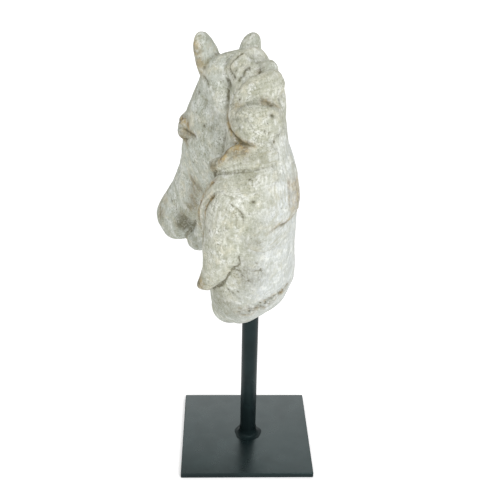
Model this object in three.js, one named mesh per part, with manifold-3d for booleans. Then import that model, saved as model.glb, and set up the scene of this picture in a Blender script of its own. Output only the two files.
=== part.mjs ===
// A driftwood horse head on a steel stand: the carved head and neck, in one piece,
// sit on a round post that is welded to a square base plate.
//
// Millimetres, +Z up. The origin is the middle of the base plate's underside.
// +Y is the way the neck faces and +X is the horse's right; the head turns to its left.
import * as THREE from "three";
import { mergeVertices } from "three/addons/utils/BufferGeometryUtils.js";
import Module from "manifold-3d";

const wasm = await Module();
wasm.setup();

// ---------------------------------------------------------------- driving dimensions
const PLATE = { side: 127, thick: 5, edge: 0.7 };
const POST = { x: 2, y: -1, radius: 7.8, top: 172 };
const WELD = { radius: 15, height: 8.5, toe: 0.4, bow: 1.2 };
const GAP = 0.3; // clearance between one piece and the next

// The head hangs from its poll, the point between the ears. Its long axis runs down the face
// to the lips, tilted forward from plumb, and the whole head is turned from the neck to the left.
const HEAD = { poll: new THREE.Vector3(-19, 35, 381), turn: 36, tilt: 28 };

// Stations down the face from the poll: front is the height of the face line in front of the
// long axis, back is the jaw line behind it, wide is the half width, aside its shift to the left.
const FACE = [
  { a: -29, front: -18, back: -32, wide: 18, aside: 4 },
  { a: -8, front: -5, back: -39, wide: 30.5, aside: 6 },
  { a: 25, front: 6, back: -66, wide: 34, aside: 2 },
  { a: 55, front: 7.5, back: -80, wide: 39.5, aside: 0 },
  { a: 85, front: 5, back: -84, wide: 35, aside: 0 },
  { a: 115, front: 3, back: -68, wide: 26, aside: 0 },
  { a: 150, front: 5, back: -52, wide: 21.5, aside: 0 },
  { a: 180, front: 9, back: -42, wide: 22.5, aside: 0 },
  { a: 205, front: 9, back: -38, wide: 25, aside: 0 },
  { a: 221, front: -3, back: -30, wide: 23, aside: 0 },
];

// Lower jaw: its middle line behind the long axis and its radius.
const JAW = [
  { a: 95, mid: -62, radius: 22 },
  { a: 130, mid: -56, radius: 18 },
  { a: 155, mid: -52, radius: 14 },
  { a: 178, mid: -51, radius: 11 },
  { a: 195, mid: -48, radius: 14 },
  { a: 208, mid: -44.5, radius: 13 },
];

const EYE = { left: 32.5, front: -14, a: 70, radius: 8.5 };
const BROW = { left: 28, front: -7.5, a: 64, size: [9.5, 9, 10] };

const SQUARENESS = 2.8; // of the face's section: 2 is an ellipse, and more is squarer

// Ears: middle of the base, tip, half width and half thickness, each in the head's own axes.
const EARS = [
  { base: [21, -7, 8], tip: [41, 3, -27], wide: 13, thick: 7.5 },
  { base: [-18.5, -6, 14], tip: [-20.5, 5, -18], wide: 16, thick: 7.5 },
];
const EAR_GIRTH = [{ t: 0, w: 1.05 }, { t: 0.4, w: 1 }, { t: 0.8, w: 0.76 }, { t: 1, w: 0.6 }];
const EAR_TWIST = -0.35; // how far an ear's flat side turns from facing straight ahead

// Stations up the neck: height, middle of the section, half width across, half depth.
const NECK = [
  { z: 135, x: 1, y: 6, wide: 26, deep: 33 },
  { z: 160, x: 0, y: 4, wide: 34.5, deep: 41 },
  { z: 190, x: 2, y: -2, wide: 39.5, deep: 46 },
  { z: 230, x: 1, y: -12, wide: 38, deep: 47 },
  { z: 265, x: 2, y: -24, wide: 37, deep: 42 },
  { z: 300, x: 3, y: -26, wide: 31, deep: 38 },
  { z: 330, x: 2, y: -20, wide: 24, deep: 38 },
  { z: 355, x: 3, y: -10, wide: 24, deep: 34 },
  { z: 375, x: 1, y: 2, wide: 20.5, deep: 27 },
  { z: 390, x: -4, y: 9, wide: 14, deep: 18 },
];
const RIM = { drop: 17, lowest: 320 }; // the cut foot slopes, lowest at this angle round the neck
const SLOPE = { top: 205, height: 75 }; // below this height the slope sets in, full this far down

// Locks of the mane, lying on the neck. Each row is a point on the lock's middle line:
// height, angle round the neck (180 is the crest, 270 the left side), lift, half width.
const LOCKS = {
  forelock: { thick: 8, path: [[394, 182, 2, 7], [388, 206, 3, 10], [380, 222, 4, 10], [371, 217, 3, 5]] },
  crest: { thick: 10, path: [
    [371, 121, 0, 8], [370, 145, 3, 15], [366, 185, 4, 15], [361, 220, 4, 10],
  ] },
  upper: { thick: 9, path: [
    [344, 134, 0, 14], [344, 160, 3, 19], [343, 190, 4, 22], [345, 220, 5, 16],
  ] },
  leaf: { thick: 6, path: [[358, 229, 4, 5], [350, 224, 6, 12], [341, 209, 8, 13], [336, 186, 6, 7]] },
  middle: { thick: 9, path: [
    [323, 145, 0, 10], [322, 175, 2, 12], [318, 206, 3, 11], [311, 232, 4, 9], [303, 256, 6, 6],
  ] },
  ridge: { thick: 7, path: [
    [331, 176, 4, 4], [329, 196, 7, 7], [323, 214, 9, 8], [315, 232, 9, 5], [305, 255, 9, 7],
  ] },
  band: { thick: 8, path: [
    [308, 148, 0, 8], [306, 177, 2, 11], [301, 207, 3, 11], [293, 238, 5, 10], [271, 260, 7, 8],
    [252, 265, 7, 6], [237, 259, 5, 3],
  ] },
  curl: { thick: 11, path: [[292, 229, 1, 10], [270, 232, 3, 23], [247, 231, 3, 15]] },
  tail: { thick: 12, path: [[256, 224, 3, 18], [236, 231, 5, 21], [208, 237, 4, 13], [184, 252, 7, 6]] },
  outer: { thick: 8, path: [
    [360, 142, 0, 10], [330, 138, 1, 15], [300, 134, 1, 18], [276, 138, 2, 19], [256, 167, 3, 14],
    [246, 190, 2, 6],
  ] },
};
const LENS = { crown: 0.6, sag: 76, tips: 0.12 }; // a lock's section, its edges' sag, its rounded tips
const KNOB = { at: [10.8, -11, 380], size: [9, 9, 8.5] };
const LOBE = { at: [-17, 20, 143], size: [18.5, 20, 17.5] };

// ---------------------------------------------------------------- small helpers
const { sin, cos, sqrt, abs, sign, PI, min, max } = Math;
const rad = THREE.MathUtils.degToRad;
const point = (list) => new THREE.Vector3(...list);

/** Smooth value of one field of a list of stations at the given position. */
function along(stations, key, field, at) {
  const last = stations.length - 1;
  const x = min(max(at, stations[0][key]), stations[last][key]);
  let i = 0;
  while (i < last - 1 && x > stations[i + 1][key]) i++;
  const [p0, p1, p2, p3] = [i - 1, i, i + 1, i + 2].map((k) => stations[min(max(k, 0), last)]);
  const slope = (a, b) => (b === a ? 0 : (b[field] - a[field]) / (b[key] - a[key]));
  const span = p2[key] - p1[key];
  const t = (x - p1[key]) / span;
  const m1 = slope(p0, p2) * span;
  const m2 = slope(p1, p3) * span;
  const h = (a, b, c, d) => ((a * t + b) * t + c) * t + d;
  return (
    h(2, -3, 0, 1) * p1[field] + h(1, -2, 1, 0) * m1 +
    h(-2, 3, 0, 0) * p2[field] + h(1, -1, 0, 0) * m2
  );
}

/** A manifold solid from a three.js geometry, turned the right way out. */
function solid(geometry) {
  const bare = geometry.clone();
  for (const name of ["normal", "uv"]) bare.deleteAttribute(name);
  const merged = mergeVertices(bare, 1e-3);
  const make = (triVerts) =>
    new wasm.Manifold(
      new wasm.Mesh({ numProp: 3, vertProperties: merged.attributes.position.array, triVerts }),
    );
  const triVerts = new Uint32Array(merged.index.array);
  const first = make(triVerts);
  if (first.volume() > 0) return first;
  for (let i = 0; i < triVerts.length; i += 3)
    [triVerts[i + 1], triVerts[i + 2]] = [triVerts[i + 2], triVerts[i + 1]];
  return make(triVerts);
}

/** A closed limb: a sphere's rings laid along t from 0 to 1; place(t, angle) puts each point. */
function limb(columns, rows, place) {
  const geometry = new THREE.SphereGeometry(1, columns, rows);
  const { position, uv } = geometry.attributes;
  for (let i = 0; i < position.count; i++) {
    const v = 1 - uv.getY(i);
    const t = (1 - cos(PI * v)) / 2;
    const pole = v < 1e-6 || v > 1 - 1e-6;
    const p = place(t, pole ? 0 : 2 * PI * uv.getX(i));
    position.setXYZ(i, p.x, p.y, p.z);
  }
  return solid(geometry);
}

/** Rounds off a limb's two ends: 0 at t = 0 and 1, and 1 further in than start and end. */
function rounded(t, start, end) {
  const cap = (d, reach) => (d >= reach ? 1 : sqrt(max(0, 1 - (1 - d / reach) ** 2)));
  return cap(t, start) * cap(1 - t, end);
}

/** A superellipse's two coordinates at an angle; power 2 is an ellipse, and more is squarer. */
function superellipse(angle, power) {
  const round = (v) => sign(v) * abs(v) ** (2 / power);
  return [round(cos(angle)), round(sin(angle))];
}

/** A named mesh from a manifold solid. */
function meshOf(name, made, material) {
  const { vertProperties, triVerts, numProp } = made.getMesh();
  const geometry = new THREE.BufferGeometry();
  const points = new Float32Array((vertProperties.length / numProp) * 3);
  for (let i = 0; i < points.length / 3; i++)
    points.set(vertProperties.subarray(i * numProp, i * numProp + 3), i * 3);
  geometry.setAttribute("position", new THREE.BufferAttribute(points, 3));
  geometry.setIndex(new THREE.BufferAttribute(new Uint32Array(triVerts), 1));
  geometry.computeVertexNormals();
  const mesh = new THREE.Mesh(geometry, material);
  mesh.name = name;
  return mesh;
}

// ---------------------------------------------------------------- head
const [turn, tilt] = [rad(HEAD.turn), rad(HEAD.tilt)];
const toLeft = point([-cos(turn), -sin(turn), 0]);
const toFront = point([-sin(turn) * cos(tilt), cos(turn) * cos(tilt), sin(tilt)]);
const down = point([-sin(turn) * sin(tilt), cos(turn) * sin(tilt), -cos(tilt)]);

/** A point of the head: mm to the horse's left, in front of the long axis, and down it. */
function onHead(left, front, a) {
  return HEAD.poll.clone().addScaledVector(toLeft, left).addScaledVector(toFront, front)
    .addScaledVector(down, a);
}

function face() {
  const first = FACE[0].a;
  const last = FACE[FACE.length - 1].a;
  return limb(24, 26, (t, angle) => {
    const a = first + t * (last - first);
    const fields = ["front", "back", "wide", "aside"];
    const [front, back, wide, aside] = fields.map((f) => along(FACE, "a", f, a));
    const end = rounded(t, 0.1, 0.1);
    const [c, s] = superellipse(angle, SQUARENESS);
    return onHead(aside + s * wide * end, (front + back) / 2 + (c * (front - back) * end) / 2, a);
  });
}

function lowerJaw() {
  const first = JAW[0].a;
  const last = JAW[JAW.length - 1].a;
  return limb(16, 12, (t, angle) => {
    const a = first + t * (last - first);
    const [mid, radius] = ["mid", "radius"].map((f) => along(JAW, "a", f, a));
    const end = rounded(t, 0.12, 0.16);
    return onHead(sin(angle) * radius * end, mid + cos(angle) * radius * end, a);
  });
}

/** An egg in the head's own axes. */
function headEgg(left, front, a, [wide, deep, long]) {
  return limb(10, 8, (t, angle) => {
    const ring = sqrt(max(0, 1 - (2 * t - 1) ** 2));
    return onHead(left + sin(angle) * ring * wide, front + cos(angle) * ring * deep,
      a + (2 * t - 1) * long);
  });
}

function ear({ base, tip, wide, thick }) {
  const foot = onHead(...base);
  const rise = onHead(...tip).sub(foot);
  const across = toLeft.clone().addScaledVector(toFront, EAR_TWIST);
  across.addScaledVector(rise, -across.dot(rise) / rise.lengthSq()).normalize();
  const outward = rise.clone().cross(across).normalize();
  return limb(16, 12, (t, angle) => {
    const girth = along(EAR_GIRTH, "t", "w", t) * rounded(t, 0.12, 0.24);
    return foot.clone().addScaledVector(rise, t)
      .addScaledVector(across, sin(angle) * wide * girth)
      .addScaledVector(outward, cos(angle) * thick * girth);
  });
}

// ---------------------------------------------------------------- neck and mane
/** A point of the neck at a height and an angle round it (0 is the throat), lifted off it. */
function onNeck(z, angle, lift = 0) {
  const [x, y, wide, deep] = ["x", "y", "wide", "deep"].map((f) => along(NECK, "z", f, z));
  const foot = min(1, max(0, (SLOPE.top - z) / SLOPE.height));
  return point([
    x + sin(angle) * (wide + lift),
    y + cos(angle) * (deep + lift),
    z - cos(angle - rad(RIM.lowest)) * foot * RIM.drop * min(1, (deep + lift) / deep),
  ]);
}

function neck() {
  const first = NECK[0].z;
  const last = NECK[NECK.length - 1].z;
  return limb(28, 26, (t, angle) => {
    const z = first + t * (last - first);
    const shrink = rounded(t, 0.09, 0.08) - 1;
    return onNeck(z, angle, shrink * along(NECK, "z", "wide", z));
  });
}

/** One lock: a lens-shaped strand laid along its path, flat to the neck. */
function lock({ path, thick }) {
  const rows = path.map(([z, angle, lift, wide], i) => ({ i, z, angle, lift, wide }));
  const at = (t, extra) => {
    const k = t * (rows.length - 1);
    const [z, angle, lift] = ["z", "angle", "lift"].map((f) => along(rows, "i", f, k));
    return onNeck(z, rad(angle), lift + extra);
  };
  return limb(10, 4 + 3 * rows.length, (t, angle) => {
    const centre = at(t, 0);
    const normal = at(t, 1).sub(centre).normalize();
    const heading = at(min(1, t + 0.02), 0).sub(at(max(0, t - 0.02), 0)).normalize();
    const across = heading.cross(normal).normalize();
    const wide = along(rows, "i", "wide", t * (rows.length - 1)) * rounded(t, LENS.tips, LENS.tips);
    const aside = sin(angle) * wide;
    const rise = cos(angle) * thick * min(1, wide / 5) * LENS.crown - aside ** 2 / LENS.sag;
    return centre.addScaledVector(across, aside).addScaledVector(normal, rise);
  });
}

/** An egg in the sculpture's axes. */
function egg({ at, size }) {
  const geometry = new THREE.SphereGeometry(1, 16, 12).scale(...size).translate(...at);
  return solid(geometry);
}

// ---------------------------------------------------------------- stand
function plate() {
  const half = PLATE.side / 2 - PLATE.edge;
  const outline = new THREE.Shape();
  outline.moveTo(-half, -half).lineTo(half, -half).lineTo(half, half).lineTo(-half, half);
  outline.closePath();
  const geometry = new THREE.ExtrudeGeometry(outline, {
    depth: PLATE.thick - 2 * PLATE.edge,
    bevelThickness: PLATE.edge,
    bevelSize: PLATE.edge,
    bevelSegments: 2,
  });
  return geometry.translate(0, 0, PLATE.edge);
}

/** The weld bead: a ring round the post's foot with a hollow, sagging face. */
function weldBead() {
  const inner = POST.radius + GAP;
  const foot = PLATE.thick + GAP;
  const outline = [new THREE.Vector2(inner, foot), new THREE.Vector2(WELD.radius, foot)];
  const arc = new THREE.QuadraticBezierCurve(
    new THREE.Vector2(WELD.radius, foot + WELD.toe),
    new THREE.Vector2(inner + WELD.bow, foot + WELD.bow),
    new THREE.Vector2(inner + WELD.toe, foot + WELD.height),
  );
  outline.push(...arc.getPoints(5), new THREE.Vector2(inner, foot + WELD.height), outline[0].clone());
  return new THREE.LatheGeometry(outline, 28);
}

/** The space the post fills in the carving, with clearance all round. */
function socket() {
  const radius = POST.radius + GAP;
  const geometry = new THREE.CylinderGeometry(radius, radius, POST.top, 32).rotateX(PI / 2);
  return solid(geometry.translate(POST.x, POST.y, POST.top / 2 + GAP));
}

const coat = new THREE.MeshStandardMaterial({ color: 0x2a3234, roughness: 0.45, metalness: 0.2 });
const driftwood = new THREE.MeshStandardMaterial({ color: 0xc9c8bb, roughness: 0.9, metalness: 0 });

const group = new THREE.Group();
const base = new THREE.Mesh(plate(), coat);
base.name = "base_plate";
group.add(base);

const postLength = POST.top - PLATE.thick - GAP;
const post = new THREE.Mesh(
  new THREE.CylinderGeometry(POST.radius, POST.radius, postLength, 32), coat);
post.name = "post";
post.rotation.x = PI / 2;
post.position.set(POST.x, POST.y, POST.top - postLength / 2);
group.add(post);

const bead = new THREE.Mesh(weldBead(), coat);
bead.name = "weld_bead";
bead.rotation.x = PI / 2;
bead.position.set(POST.x, POST.y, 0);
group.add(bead);

const sides = [1, -1];
const carving = wasm.Manifold.union([
  face(),
  lowerJaw(),
  ...sides.map((side) => headEgg(side * EYE.left, EYE.front, EYE.a, Array(3).fill(EYE.radius))),
  ...sides.map((side) => headEgg(side * BROW.left, BROW.front, BROW.a, BROW.size)),
  ...EARS.map(ear),
  neck(),
  ...Object.values(LOCKS).map(lock),
  egg(KNOB),
  egg(LOBE),
]).subtract(socket());
// Locks that arch over each other can close off small hollows inside; the outer skin is kept.
const skins = carving.decompose().sort((a, b) => b.volume() - a.volume());
group.add(meshOf("horse_head", skins[0], driftwood));

export default group;
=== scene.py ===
# %% [markdown]
# # A driftwood horse head on a steel stand
#
# The real object is a horse's head and neck carved from one block of pale, weathered wood, with a
# curled mane on its left side. A round steel post, welded to a square plate, holds it up.
# The CAD model already has every piece at its true size and place. This script keeps those sizes
# and gives each piece its fine shape and its finish.

# %% Load the fixed frame
import math

import bmesh
import bpy
import numpy as np
from mathutils import Matrix, Vector, noise
from mathutils.bvhtree import BVHTree
from mathutils.kdtree import KDTree


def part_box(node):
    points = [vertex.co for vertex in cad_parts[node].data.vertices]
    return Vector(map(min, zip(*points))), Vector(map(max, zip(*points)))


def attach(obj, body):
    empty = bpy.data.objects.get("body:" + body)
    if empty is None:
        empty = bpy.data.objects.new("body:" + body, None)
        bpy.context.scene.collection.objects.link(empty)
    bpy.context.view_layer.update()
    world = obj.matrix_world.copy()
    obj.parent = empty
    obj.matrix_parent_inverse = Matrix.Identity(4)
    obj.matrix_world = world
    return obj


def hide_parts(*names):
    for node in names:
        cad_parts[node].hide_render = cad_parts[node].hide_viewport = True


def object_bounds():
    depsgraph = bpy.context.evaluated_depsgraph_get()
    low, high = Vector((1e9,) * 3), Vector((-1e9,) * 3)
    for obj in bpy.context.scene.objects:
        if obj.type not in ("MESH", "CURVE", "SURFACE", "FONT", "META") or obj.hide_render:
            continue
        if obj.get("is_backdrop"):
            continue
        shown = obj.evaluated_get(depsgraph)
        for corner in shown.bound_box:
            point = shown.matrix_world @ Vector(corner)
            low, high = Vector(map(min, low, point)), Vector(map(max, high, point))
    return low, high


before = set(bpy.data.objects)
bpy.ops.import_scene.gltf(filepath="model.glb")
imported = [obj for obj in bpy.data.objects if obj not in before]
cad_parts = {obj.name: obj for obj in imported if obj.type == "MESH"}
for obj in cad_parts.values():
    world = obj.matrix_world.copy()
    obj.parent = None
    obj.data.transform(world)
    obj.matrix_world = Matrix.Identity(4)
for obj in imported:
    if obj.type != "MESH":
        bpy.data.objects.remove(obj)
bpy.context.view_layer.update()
MM = 0.001

# %% [markdown]
# ## Camera, floor and light
#
# The camera stands behind the horse's left shoulder and looks down at it. A camera looks along its
# own -Z, so it is first tipped up from straight down, then turned about the vertical. The small
# last turn is its tilt about its own line of sight.

# %% Camera
CAMERA_PLACE = Vector((-0.02734, -0.68794, 0.54731))
LOOK_DOWN, LOOK_RIGHT, CAMERA_ROLL = (math.radians(a) for a in (26.003, 2.292, 1.328))

camera_data = bpy.data.cameras.new("camera")
camera_data.sensor_width = 36
camera_data.lens = 60.35
camera = bpy.data.objects.new("camera", camera_data)
bpy.context.scene.collection.objects.link(camera)
camera.matrix_world = (
    Matrix.Translation(CAMERA_PLACE)
    @ Matrix.Rotation(-LOOK_RIGHT, 4, "Z")
    @ Matrix.Rotation(math.radians(90) - LOOK_DOWN, 4, "X")
    @ Matrix.Rotation(CAMERA_ROLL, 4, "Z")
)
bpy.context.scene.camera = camera
print("camera is", round((CAMERA_PLACE - Vector((0, 0, 0.2))).length, 2), "m from the middle")

# %% Floor and lights
def new_piece(name, mesh):
    """A piece with its place in its mesh."""
    piece = bpy.data.objects.new(name, mesh)
    bpy.context.scene.collection.objects.link(piece)
    return piece


def plain_floor(size=8.0, drop=0.0002):
    made = bmesh.new()
    bmesh.ops.create_grid(made, x_segments=1, y_segments=1, size=size / 2)
    bmesh.ops.translate(made, verts=made.verts, vec=(0, 0, -drop))
    mesh = bpy.data.meshes.new("floor")
    made.to_mesh(mesh)
    made.free()
    paint = bpy.data.materials.new("floor_paint")
    paint.use_nodes = True
    shader = paint.node_tree.nodes["Principled BSDF"]
    shader.inputs["Base Color"].default_value = (0.97, 0.97, 0.97, 1)
    shader.inputs["Roughness"].default_value = 0.9
    shader.inputs["Emission Color"].default_value = (1, 1, 1, 1)
    shader.inputs["Emission Strength"].default_value = 0.28
    mesh.materials.append(paint)
    floor = new_piece("floor", mesh)
    floor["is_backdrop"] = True
    return floor


def soft_light(name, place, size, power, aim=(0, 0, 0.22)):
    data = bpy.data.lights.new(name, "AREA")
    data.size = size
    data.energy = power
    light = bpy.data.objects.new(name, data)
    bpy.context.scene.collection.objects.link(light)
    light.location = place
    light.rotation_euler = (Vector(aim) - Vector(place)).to_track_quat("-Z", "Y").to_euler()
    return light


plain_floor()
soft_light("key", (0.8, -1.6, 1.5), 0.9, 23)
soft_light("fill", (-1.0, -1.7, 1.0), 1.6, 10)
soft_light("strip", (0.6, -0.2, 0.1), 0.12, 0.35, (0, 0, 0.1))
soft_light("back", (0, 2.6, 1.35), 2.4, 24)

world = bpy.data.worlds.new("studio")
world.use_nodes = True
nodes, links = world.node_tree.nodes, world.node_tree.links
seen = nodes.new("ShaderNodeLightPath").outputs["Is Camera Ray"]
strength = nodes.new("ShaderNodeMapRange")
strength.inputs["To Min"].default_value = 0.5
strength.inputs["To Max"].default_value = 0.98
links.new(seen, strength.inputs["Value"])
nodes["Background"].inputs["Color"].default_value = (1, 1, 1, 1)
links.new(strength.outputs["Result"], nodes["Background"].inputs["Strength"])
bpy.context.scene.world = world
bpy.context.scene.view_settings.view_transform = "Standard"
print("floor and", len(bpy.data.lights), "lights are in")

# %% [markdown]
# ## A lump of clay from the CAD carving
#
# The CAD head is right in size and pose but made of flat facets. A copy of it is remeshed on a fine
# grid, so its points are spread evenly, and its facets are smoothed away. Taubin smoothing is used:
# each round shrinks the shape a little and then swells it back, so thin ears don't waste away.

# %% Helpers that read and move many points at once
VOXEL = 1.3 * MM
FINE_VOXEL = 1.12 * MM


def points_of(mesh):
    flat = np.empty(len(mesh.vertices) * 3)
    mesh.vertices.foreach_get("co", flat)
    return flat.reshape(-1, 3)


def normals_of(mesh):
    flat = np.empty(len(mesh.vertices) * 3)
    mesh.vertices.foreach_get("normal", flat)
    return flat.reshape(-1, 3)


def edges_of(mesh):
    flat = np.empty(len(mesh.edges) * 2, dtype=np.int64)
    mesh.edges.foreach_get("vertices", flat)
    return flat.reshape(-1, 2)


def put_points(mesh, points):
    mesh.vertices.foreach_set("co", np.ascontiguousarray(points).ravel())
    mesh.update()


def around(points, edges):
    """The middle of each point's neighbours."""
    first, second = edges.T
    count = np.bincount(edges.ravel(), minlength=len(points)).clip(1)
    total = np.stack([
        np.bincount(first, points[second, k], len(points))
        + np.bincount(second, points[first, k], len(points))
        for k in range(points.shape[1])
    ], axis=1)
    return total / count[:, None]


def smooth(points, edges, rounds, share=1.0):
    """Taubin smoothing; share, from 0 to 1 for each point, says how much it is smoothed."""
    share = np.broadcast_to(share, len(points))[:, None]
    for _ in range(rounds):
        for step in (0.5, -0.52):
            points = points + step * share * (around(points, edges) - points)
    return points


def apply_modifier(piece, kind, **settings):
    modifier = piece.modifiers.new(kind.lower(), kind)
    for name, value in settings.items():
        setattr(modifier, name, value)
    evaluated = piece.evaluated_get(bpy.context.evaluated_depsgraph_get())
    fresh = bpy.data.meshes.new_from_object(evaluated)
    piece.modifiers.clear()
    old, piece.data = piece.data, fresh
    bpy.data.meshes.remove(old)


def apply_remesh(piece, voxel):
    apply_modifier(piece, "REMESH", mode="VOXEL", voxel_size=voxel, use_smooth_shade=True)


# %% Copy, remesh and smooth the carving
def copy_of_node(name, node):
    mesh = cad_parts[node].data.copy()
    mesh.materials.clear()
    joined = bmesh.new()
    joined.from_mesh(mesh)
    bmesh.ops.remove_doubles(joined, verts=joined.verts, dist=1e-6)
    joined.to_mesh(mesh)
    joined.free()
    return new_piece(name, mesh)


head = copy_of_node("carved_head", "horse_head")
apply_remesh(head, VOXEL)
points = smooth(points_of(head.data), edges_of(head.data), rounds=45)
put_points(head.data, points)
print("the lump has", len(head.data.vertices), "points")

# %% [markdown]
# ## Places on the neck and on the head
#
# A carver measures along the block: so high up the neck and so far round it, or so far down the
# face. The same two ways of naming a place are used here. They match the CAD model's own.

# %% The neck's and the head's own coordinates
def along(rows, at):
    """Smooth in-between rows of a table; the first column is the position."""
    rows = np.asarray(rows, float)
    x, y = rows[:, 0], rows[:, 1:]
    at = np.clip(at, x[0], x[-1])
    before, after = np.r_[0, 0:len(x) - 1], np.r_[1:len(x), len(x) - 1]
    slope = (y[after] - y[before]) / (x[after] - x[before])[:, None]
    i = np.clip(np.searchsorted(x, at) - 1, 0, len(x) - 2)
    span = (x[i + 1] - x[i])[..., None]
    t = (np.asarray(at) - x[i])[..., None] / span
    return (
        (2 * t**3 - 3 * t**2 + 1) * y[i] + (t**3 - 2 * t**2 + t) * span * slope[i]
        + (3 * t**2 - 2 * t**3) * y[i + 1] + (t**3 - t**2) * span * slope[i + 1]
    )


# Height, middle in X and Y, half width and half depth of the neck.
NECK = [
    (135, 1, 6, 26, 33), (160, 0, 4, 34.5, 41), (190, 2, -2, 39.5, 46), (230, 1, -12, 38, 47),
    (265, 2, -24, 37, 42), (300, 3, -26, 31, 38), (330, 2, -20, 24, 38), (355, 3, -10, 24, 34),
    (375, 1, 2, 20.5, 27), (390, -4, 9, 14, 18),
]
RIM_DROP, RIM_LOWEST = 17, math.radians(320)


def on_neck(height, angle, lift=0.0):
    """A point of the neck: its height, the angle round it in degrees, its lift off it in mm."""
    height, angle = np.asarray(height, float), np.radians(angle)
    x, y, wide, deep = np.moveaxis(along(NECK, height), -1, 0)
    foot = np.clip((205 - height) / 75, 0, 1)
    fall = np.cos(angle - RIM_LOWEST) * foot * RIM_DROP * np.minimum(1, (deep + lift) / deep)
    return np.stack([
        x + np.sin(angle) * (wide + lift), y + np.cos(angle) * (deep + lift), height - fall,
    ], axis=-1) * MM


POLL = np.array([-19, 35, 381]) * MM
TURN, TILT = math.radians(36), math.radians(28)
TO_LEFT = np.array([-math.cos(TURN), -math.sin(TURN), 0])
TO_FRONT = np.array([
    -math.sin(TURN) * math.cos(TILT), math.cos(TURN) * math.cos(TILT), math.sin(TILT)])
DOWN = np.array([
    -math.sin(TURN) * math.sin(TILT), math.cos(TURN) * math.sin(TILT), -math.cos(TILT)])


def on_head(left, front, down):
    """A point of the head in mm: to the horse's left, in front of its long axis, and down it."""
    parts = [np.asarray(v, float)[..., None] for v in (left, front, down)]
    return POLL + (parts[0] * TO_LEFT + parts[1] * TO_FRONT + parts[2] * DOWN) * MM


print("poll at", (POLL / MM).round(), "lips near", (on_head(0, -12, 224) / MM).round())

# %% [markdown]
# ## The locks of the mane
#
# Each lock is a lens-shaped strand that follows a line over the neck. It starts as a sphere whose
# rings are laid along that line.

# %% Lay the locks on the lump
# Each row: height, angle round the neck, lift and half width.
LOCKS = {
    "forelock": (8, [(394, 182, 2, 7), (388, 206, 3, 10), (380, 222, 4, 10), (371, 217, 3, 5)]),
    "crest": (10, [(371, 121, 0, 8), (370, 145, 3, 15), (366, 185, 4, 15), (361, 220, 4, 10)]),
    "upper": (9, [(344, 134, 0, 14), (344, 160, 3, 19), (343, 190, 4, 22), (345, 220, 5, 16)]),
    "leaf": (6, [(358, 229, 4, 5), (350, 224, 6, 12), (341, 209, 8, 13), (336, 186, 6, 7)]),
    "middle": (9, [(323, 145, 0, 10), (322, 175, 2, 12), (318, 206, 3, 11), (311, 232, 4, 9),
                   (303, 256, 6, 6)]),
    "ridge": (7, [(331, 176, 4, 4), (329, 196, 7, 7), (323, 214, 9, 8), (315, 232, 9, 5),
                  (305, 255, 9, 7)]),
    "band": (8, [(308, 148, 0, 8), (306, 177, 2, 11), (301, 207, 3, 11), (293, 238, 5, 10),
                 (271, 260, 7, 8), (252, 265, 7, 6), (237, 259, 5, 3)]),
    "curl": (11, [(292, 229, 1, 10), (270, 232, 3, 23), (247, 231, 3, 15)]),
    "tail": (12, [(256, 224, 3, 18), (236, 231, 5, 21), (208, 237, 4, 13), (184, 252, 7, 6)]),
    "outer": (8, [(360, 142, 0, 10), (330, 138, 1, 15), (300, 134, 1, 18), (276, 138, 2, 19),
                  (256, 167, 3, 14), (246, 190, 2, 6)]),
}


def lock_line(path, t, aside=0.0, rise=0.0):
    """Points on a lock: t along it from 0 to 1, aside in half widths, rise in mm above it."""
    rows = np.c_[np.arange(len(path)), np.asarray(path, float)]
    at = lambda t, more=0.0: (
        lambda q: on_neck(q[..., 0], q[..., 1], q[..., 2] + more)
    )(along(rows, np.clip(t, 0, 1) * (len(path) - 1)))
    centre = at(t)
    normal = at(t, 1.0) - centre
    normal /= np.linalg.norm(normal, axis=-1, keepdims=True)
    heading = at(t + 0.02) - at(t - 0.02)
    across = np.cross(heading, normal)
    across /= np.linalg.norm(across, axis=-1, keepdims=True)
    wide = along(rows, np.clip(t, 0, 1) * (len(path) - 1))[..., 3]
    off = np.asarray(aside) * wide
    lift = rise - off**2 / 76
    return centre + (across * off[..., None] + normal * lift[..., None]) * MM


def unit_sphere(columns, rows):
    """A sphere's mesh, and for each point t along it and the angle round it."""
    ball = bmesh.new()
    bmesh.ops.create_uvsphere(ball, u_segments=columns, v_segments=rows, radius=1)
    mesh = bpy.data.meshes.new("ball")
    ball.to_mesh(mesh)
    ball.free()
    co = points_of(mesh)
    return mesh, (co[:, 2] + 1) / 2, np.arctan2(co[:, 1], co[:, 0])


def rounded(t, start, end):
    cap = lambda d, reach: np.sqrt(np.clip(1 - (1 - np.clip(d / reach, 0, 1))**2, 0, 1))
    return cap(t, start) * cap(1 - t, end)


def lock(thick, path):
    mesh, t, angle = unit_sphere(36, 60)
    rows = np.c_[np.arange(len(path)), np.asarray(path, float)]
    wide = along(rows, t * (len(path) - 1))[:, 3]
    girth = rounded(t, 0.12, 0.12)
    rise = np.cos(angle) * thick * np.minimum(1, wide * girth / 5) * 0.6
    put_points(mesh, lock_line(path, t, np.sin(angle) * girth, rise))
    return mesh


def add_meshes(piece, meshes):
    whole = bmesh.new()
    whole.from_mesh(piece.data)
    for mesh in meshes:
        whole.from_mesh(mesh)
        bpy.data.meshes.remove(mesh)
    whole.to_mesh(piece.data)
    whole.free()


add_meshes(head, [lock(*shape) for shape in LOCKS.values()])
apply_remesh(head, FINE_VOXEL)
points = smooth(points_of(head.data), edges_of(head.data), rounds=6)
put_points(head.data, points)
print("with its locks it has", len(head.data.vertices), "points")
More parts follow.
